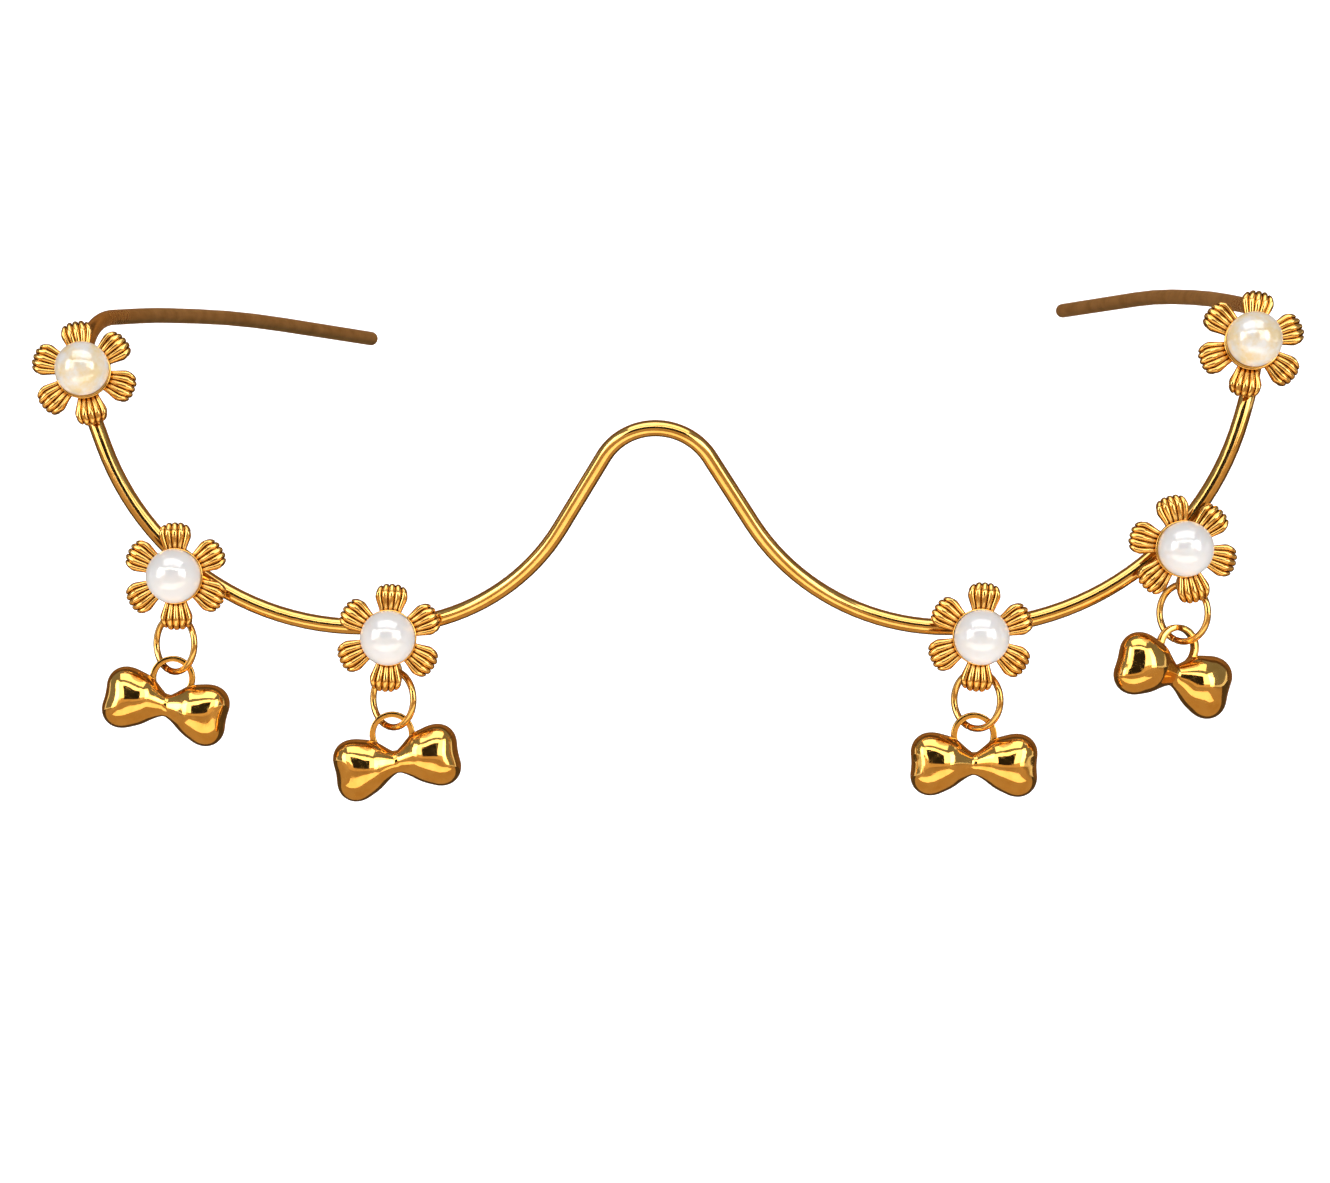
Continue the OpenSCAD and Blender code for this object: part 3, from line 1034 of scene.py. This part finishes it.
# The bail: a band with a shallow groove round its outside.
def bailBand():
    inner, outer = bow["bailInner"], bow["bailOuter"]
    half = bow["bailDepth"] / 2
    groove = bow["grooveHalf"]
    floor = outer - bow["grooveDepth"]
    outline = [(inner, -half), (outer, -half), (outer, -groove), (floor, -groove)]
    outline += [(floor, groove), (outer, groove), (outer, half), (inner, half)]
    return revolve(rounded(outline, bow["bailRounding"], loop=True), bow["bailSides"], loop=True)


def makeBows():
    half = np.array([bow["width"] / 2, bow["height"] / 2, bow["puffRadius"] + bow["spareDepth"]])
    half += bow["spareCells"] * bow["meshStep"]
    middle = np.array([0, -bow["waistDrop"], bow["bailBehind"]])
    points, faces = surfaceMesh(bowDistance, middle - half, middle + half, bow["meshStep"])
    bandPoints, bandFaces = bailBand()
    faces = faces + [[i + len(points) for i in face] for face in bandFaces]
    source = meshPiece("bowSource", np.concatenate([points, np.array(bandPoints)]) * mm, faces)
    for name in hungStations:
        station = stations[name]
        place = Matrix.Translation(Vector(joint("charm_tilt_" + name)["pos_m"]))
        place = place @ Matrix.Rotation(math.radians(station["bowYaw"]), 4, "Z")
        place = place @ Matrix.Rotation(math.pi / 2, 4, "X")
        place = place @ Matrix.Rotation(math.radians(station["tilt"]), 4, "Z")
        piece = weldAll(copyPlaced(source, "bow_" + name, place))
        give(piece, bowGold)
        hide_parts("bow_charm_" + name)
        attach(piece, "charm_" + name)
    discard(source)


makeBows()
print("bows made")


# Saddles, eyelets and pegs are shown as they are, in dull solder gold.
for name in stations:
    for kind in ("solder_saddle_", "pearl_peg_", "eyelet_"):
        node = bpy.data.objects.get(kind + name)
        if node:
            give(node, solderGold)


# Stage: a pale floor that curves up to a backdrop, soft lights, and cards that only the metal reflects.
shot = {
    "distance": 420,
    "azimuth": 5,
    "aim": (0.97, 0, -16.8),
    "lens": 105.3,
    "clip": (0.01, 20),
    "floor": -84,
    "floorReach": 6000,
    "floorGlow": 0.55,
    "floorColour": (0.93, 0.93, 0.93),
    "backdropAt": 500,
    "backdropBend": 200,
    "backdropHeight": 900,
    "backdropSteps": 24,
    "worldColour": (0.9, 0.92, 0.95, 1),
    "worldGlow": 0.25,
    "worldGlowSeen": 1.1,
}

# Lights: where each stands, what it is aimed at, its size, and its power in watts.
lights = {
    "overhead": ((0, -160, 330), (0, 0, 0), (520, 240), 0.75),
    "leftStrip": ((-380, -260, 90), (0, 0, -10), (130, 300), 0.34),
    "rightStrip": ((380, -260, 90), (0, 0, -10), (130, 300), 0.34),
    "backdropWash": ((0, 150, 420), (0, 450, 0), (900, 200), 1.6, False),
}

# Cards: centre, width and height, tilt from lying flat, colour, and glow.
cards = {
    "darkFront": ((-12, -325, 62), (360, 180), 90, (0.006, 0.004, 0.003), 0.0),
    "paleFront": ((0, -340, 110), (1300, 230), 70, (1.0, 0.97, 0.92), 1.3),
    "warmFront": ((0, -345, -45), (1300, 80), 90, (0.4, 0.28, 0.16), 0.4),
    "brownLow": ((0, -180, -82), (1500, 440), 0, (0.38, 0.25, 0.13), 0.12),
    "paleLow": ((0, -70, -81), (260, 70), 0, (1.0, 0.86, 0.66), 0.5),
    "darkUnder": ((0, 170, -82), (1500, 260), 0, (0.05, 0.03, 0.012), 0.05),
    "darkBack": ((0, 300, 500), (2400, 1300), 90, (0.14, 0.07, 0.025), 0.12),
}


def paintMaterial(name, colour, glow):
    material, _, surface = newMaterial(name)
    surface.inputs["Base Color"].default_value = (*colour, 1)
    surface.inputs["Roughness"].default_value = 0.9
    surface.inputs["Emission Color"].default_value = (*colour, 1)
    surface.inputs["Emission Strength"].default_value = glow
    return material


def makeFloor():
    z = shot["floor"]
    bend = shot["backdropBend"]
    back = shot["backdropAt"] - bend
    profile = [(-shot["floorReach"], z), (back, z)]
    for i in range(1, shot["backdropSteps"] + 1):
        a = math.pi / 2 * i / shot["backdropSteps"]
        profile.append((back + bend * math.sin(a), z + bend * (1 - math.cos(a))))
    profile.append((back + bend, z + shot["backdropHeight"]))
    points = [(x * shot["floorReach"] * mm, y * mm, h * mm) for y, h in profile for x in (-1, 1)]
    faces = [(2 * i, 2 * i + 1, 2 * i + 3, 2 * i + 2) for i in range(len(profile) - 1)]
    floor = meshPiece("floor", points, faces)
    give(floor, paintMaterial("paleFloor", shot["floorColour"], shot["floorGlow"]))


# A card that the metal reflects, and that the camera and the lights pass through.
def makeCard(name, centre, size, tilt, colour, glow):
    w, h = size[0] / 2, size[1] / 2
    place = Matrix.Translation(asVector(centre)) @ Matrix.Rotation(math.radians(tilt), 4, "X")
    points = [place @ asVector(p) for p in ((-w, -h, 0), (w, -h, 0), (w, h, 0), (-w, h, 0))]
    card = meshPiece(name, points, [(0, 1, 2, 3)], smooth=False)
    give(card, paintMaterial(name, colour, glow))
    card.visible_camera = False
    card.visible_diffuse = False
    card.visible_shadow = False


def makeLight(name, centre, aim, size, power, reflected=True):
    data = bpy.data.lights.new(name, "AREA")
    data.shape = "RECTANGLE"
    data.size = size[0] * mm
    data.size_y = size[1] * mm
    data.energy = power
    light = bpy.data.objects.new(name, data)
    light.location = asVector(centre)
    light.rotation_euler = (asVector(aim) - asVector(centre)).to_track_quat("-Z", "Y").to_euler()
    light.visible_camera = False
    light.visible_glossy = reflected
    bpy.context.scene.collection.objects.link(light)


def makeCamera():
    data = bpy.data.cameras.new("camera")
    data.lens = shot["lens"]
    data.clip_start, data.clip_end = shot["clip"]
    camera = bpy.data.objects.new("camera", data)
    a = math.radians(shot["azimuth"])
    back = Vector((math.sin(a), -math.cos(a), 0))
    camera.location = asVector(shot["aim"]) + back * shot["distance"] * mm
    camera.rotation_euler = (-back).to_track_quat("-Z", "Y").to_euler()
    bpy.context.scene.collection.objects.link(camera)
    bpy.context.scene.camera = camera


def makeStage():
    makeFloor()
    for name, card in cards.items():
        makeCard(name, *card)
    for name, light in lights.items():
        makeLight(name, *light)
    world = bpy.data.worlds.new("studio")
    world.use_nodes = True
    world.node_tree.nodes["Background"].inputs["Color"].default_value = shot["worldColour"]
    seen = world.node_tree.nodes.new("ShaderNodeLightPath")
    dim, bright = shot["worldGlow"], shot["worldGlowSeen"]
    strength = mapValue(world.node_tree, seen.outputs["Is Camera Ray"], dim, bright)
    world.node_tree.links.new(strength, world.node_tree.nodes["Background"].inputs["Strength"])
    bpy.context.scene.world = world
    bpy.context.scene.view_settings.view_transform = "Standard"
    makeCamera()


makeStage()
print("stage made")
